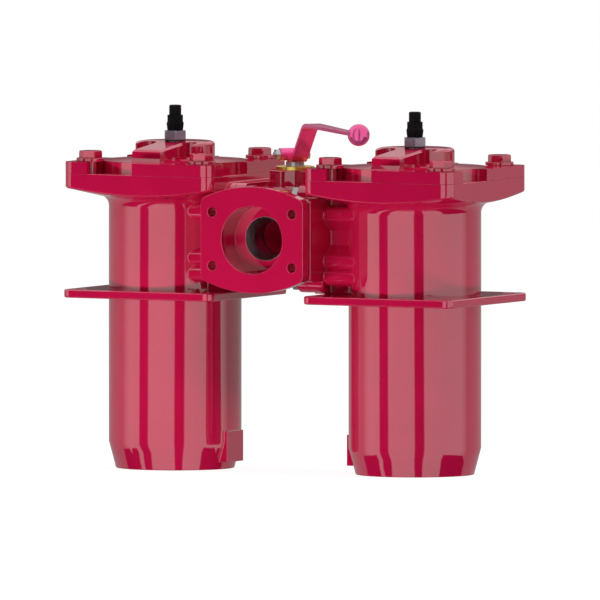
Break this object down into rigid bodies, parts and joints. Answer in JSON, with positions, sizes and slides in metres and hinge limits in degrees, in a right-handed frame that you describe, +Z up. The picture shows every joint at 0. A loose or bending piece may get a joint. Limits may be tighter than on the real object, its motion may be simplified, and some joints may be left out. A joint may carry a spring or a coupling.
{
  "type": "duplex strainer",
  "caption": "Duplex strainer: twin pots with bolted covers and clogging indicators, joined by a change-over ball valve with a hand lever and flanged ports.",
  "frame": {"origin": "centre of the inlet flange's face", "axes": "+X to the right pot, +Y from the inlet into the valve, +Z up"},
  "size_m": [0.6366, 0.3711, 0.525],
  "materials": {
    "paint": "glossy",
    "lever_paint": "glossy",
    "steel": "satin",
    "indicator_steel": "satin",
    "wire_mesh": "woven",
    "rubber": "matte",
    "brass": "satin",
    "black_plastic": "matte"
  },
  "bodies": {
    "housing": {"valve_body": "paint", "left_housing": "paint", "right_housing": "paint", "left_mounting_plate": "paint", "right_mounting_plate": "paint", "branch_seals": "rubber", "branch_bolts": "steel", "front_seat": "steel", "side_seats": "steel", "bonnet": "paint", "index_plate": "brass", "stem_bush": "brass", "cover_seals": "rubber", "left_bottom_cap": "steel", "right_bottom_cap": "steel", "left_core": "steel", "right_core": "steel", "left_mesh": "wire_mesh", "right_mesh": "wire_mesh", "left_top_cap": "steel", "right_top_cap": "steel", "left_element_seal": "rubber", "right_element_seal": "rubber"},
    "lever": {"lever": "lever_paint", "lever_knob": "lever_paint", "clamp_bolt": "steel", "stem": "steel", "stem_seals": "rubber", "valve_ball": "paint"},
    "left_bolts": {"left_cover_bolts": "paint", "left_cover_washers": "paint"},
    "right_bolts": {"right_cover_bolts": "paint", "right_cover_washers": "paint"},
    "left_cover": {"left_cover": "paint", "left_indicator_seal": "rubber", "left_indicator_base": "indicator_steel", "left_indicator_body": "black_plastic"},
    "right_cover": {"right_cover": "paint", "right_indicator_seal": "rubber", "right_indicator_base": "indicator_steel", "right_indicator_body": "black_plastic"}
  },
  "joints": [
    {"name": "lever_turn", "type": "hinge", "parent": "housing", "child": "lever", "pos_m": [0, 0.1345, 0.1], "axis": [0, 0, 1], "range_deg": [-90, 0]},
    {"name": "left_cover_lift", "type": "slide", "parent": "housing", "child": "left_bolts", "axis": [0, 0, 1], "range_m": [0, 0.025]},
    {"name": "left_cover_turn", "type": "hinge", "parent": "left_bolts", "child": "left_cover", "pos_m": [-0.196, 0.1345, 0.1049], "axis": [0, 0, 1], "range_deg": [-22, 0]},
    {"name": "right_cover_lift", "type": "slide", "parent": "housing", "child": "right_bolts", "axis": [0, 0, 1], "range_m": [0, 0.025]},
    {"name": "right_cover_turn", "type": "hinge", "parent": "right_bolts", "child": "right_cover", "pos_m": [0.196, 0.1345, 0.1049], "axis": [0, 0, 1], "range_deg": [-22, 0]}
  ]
}
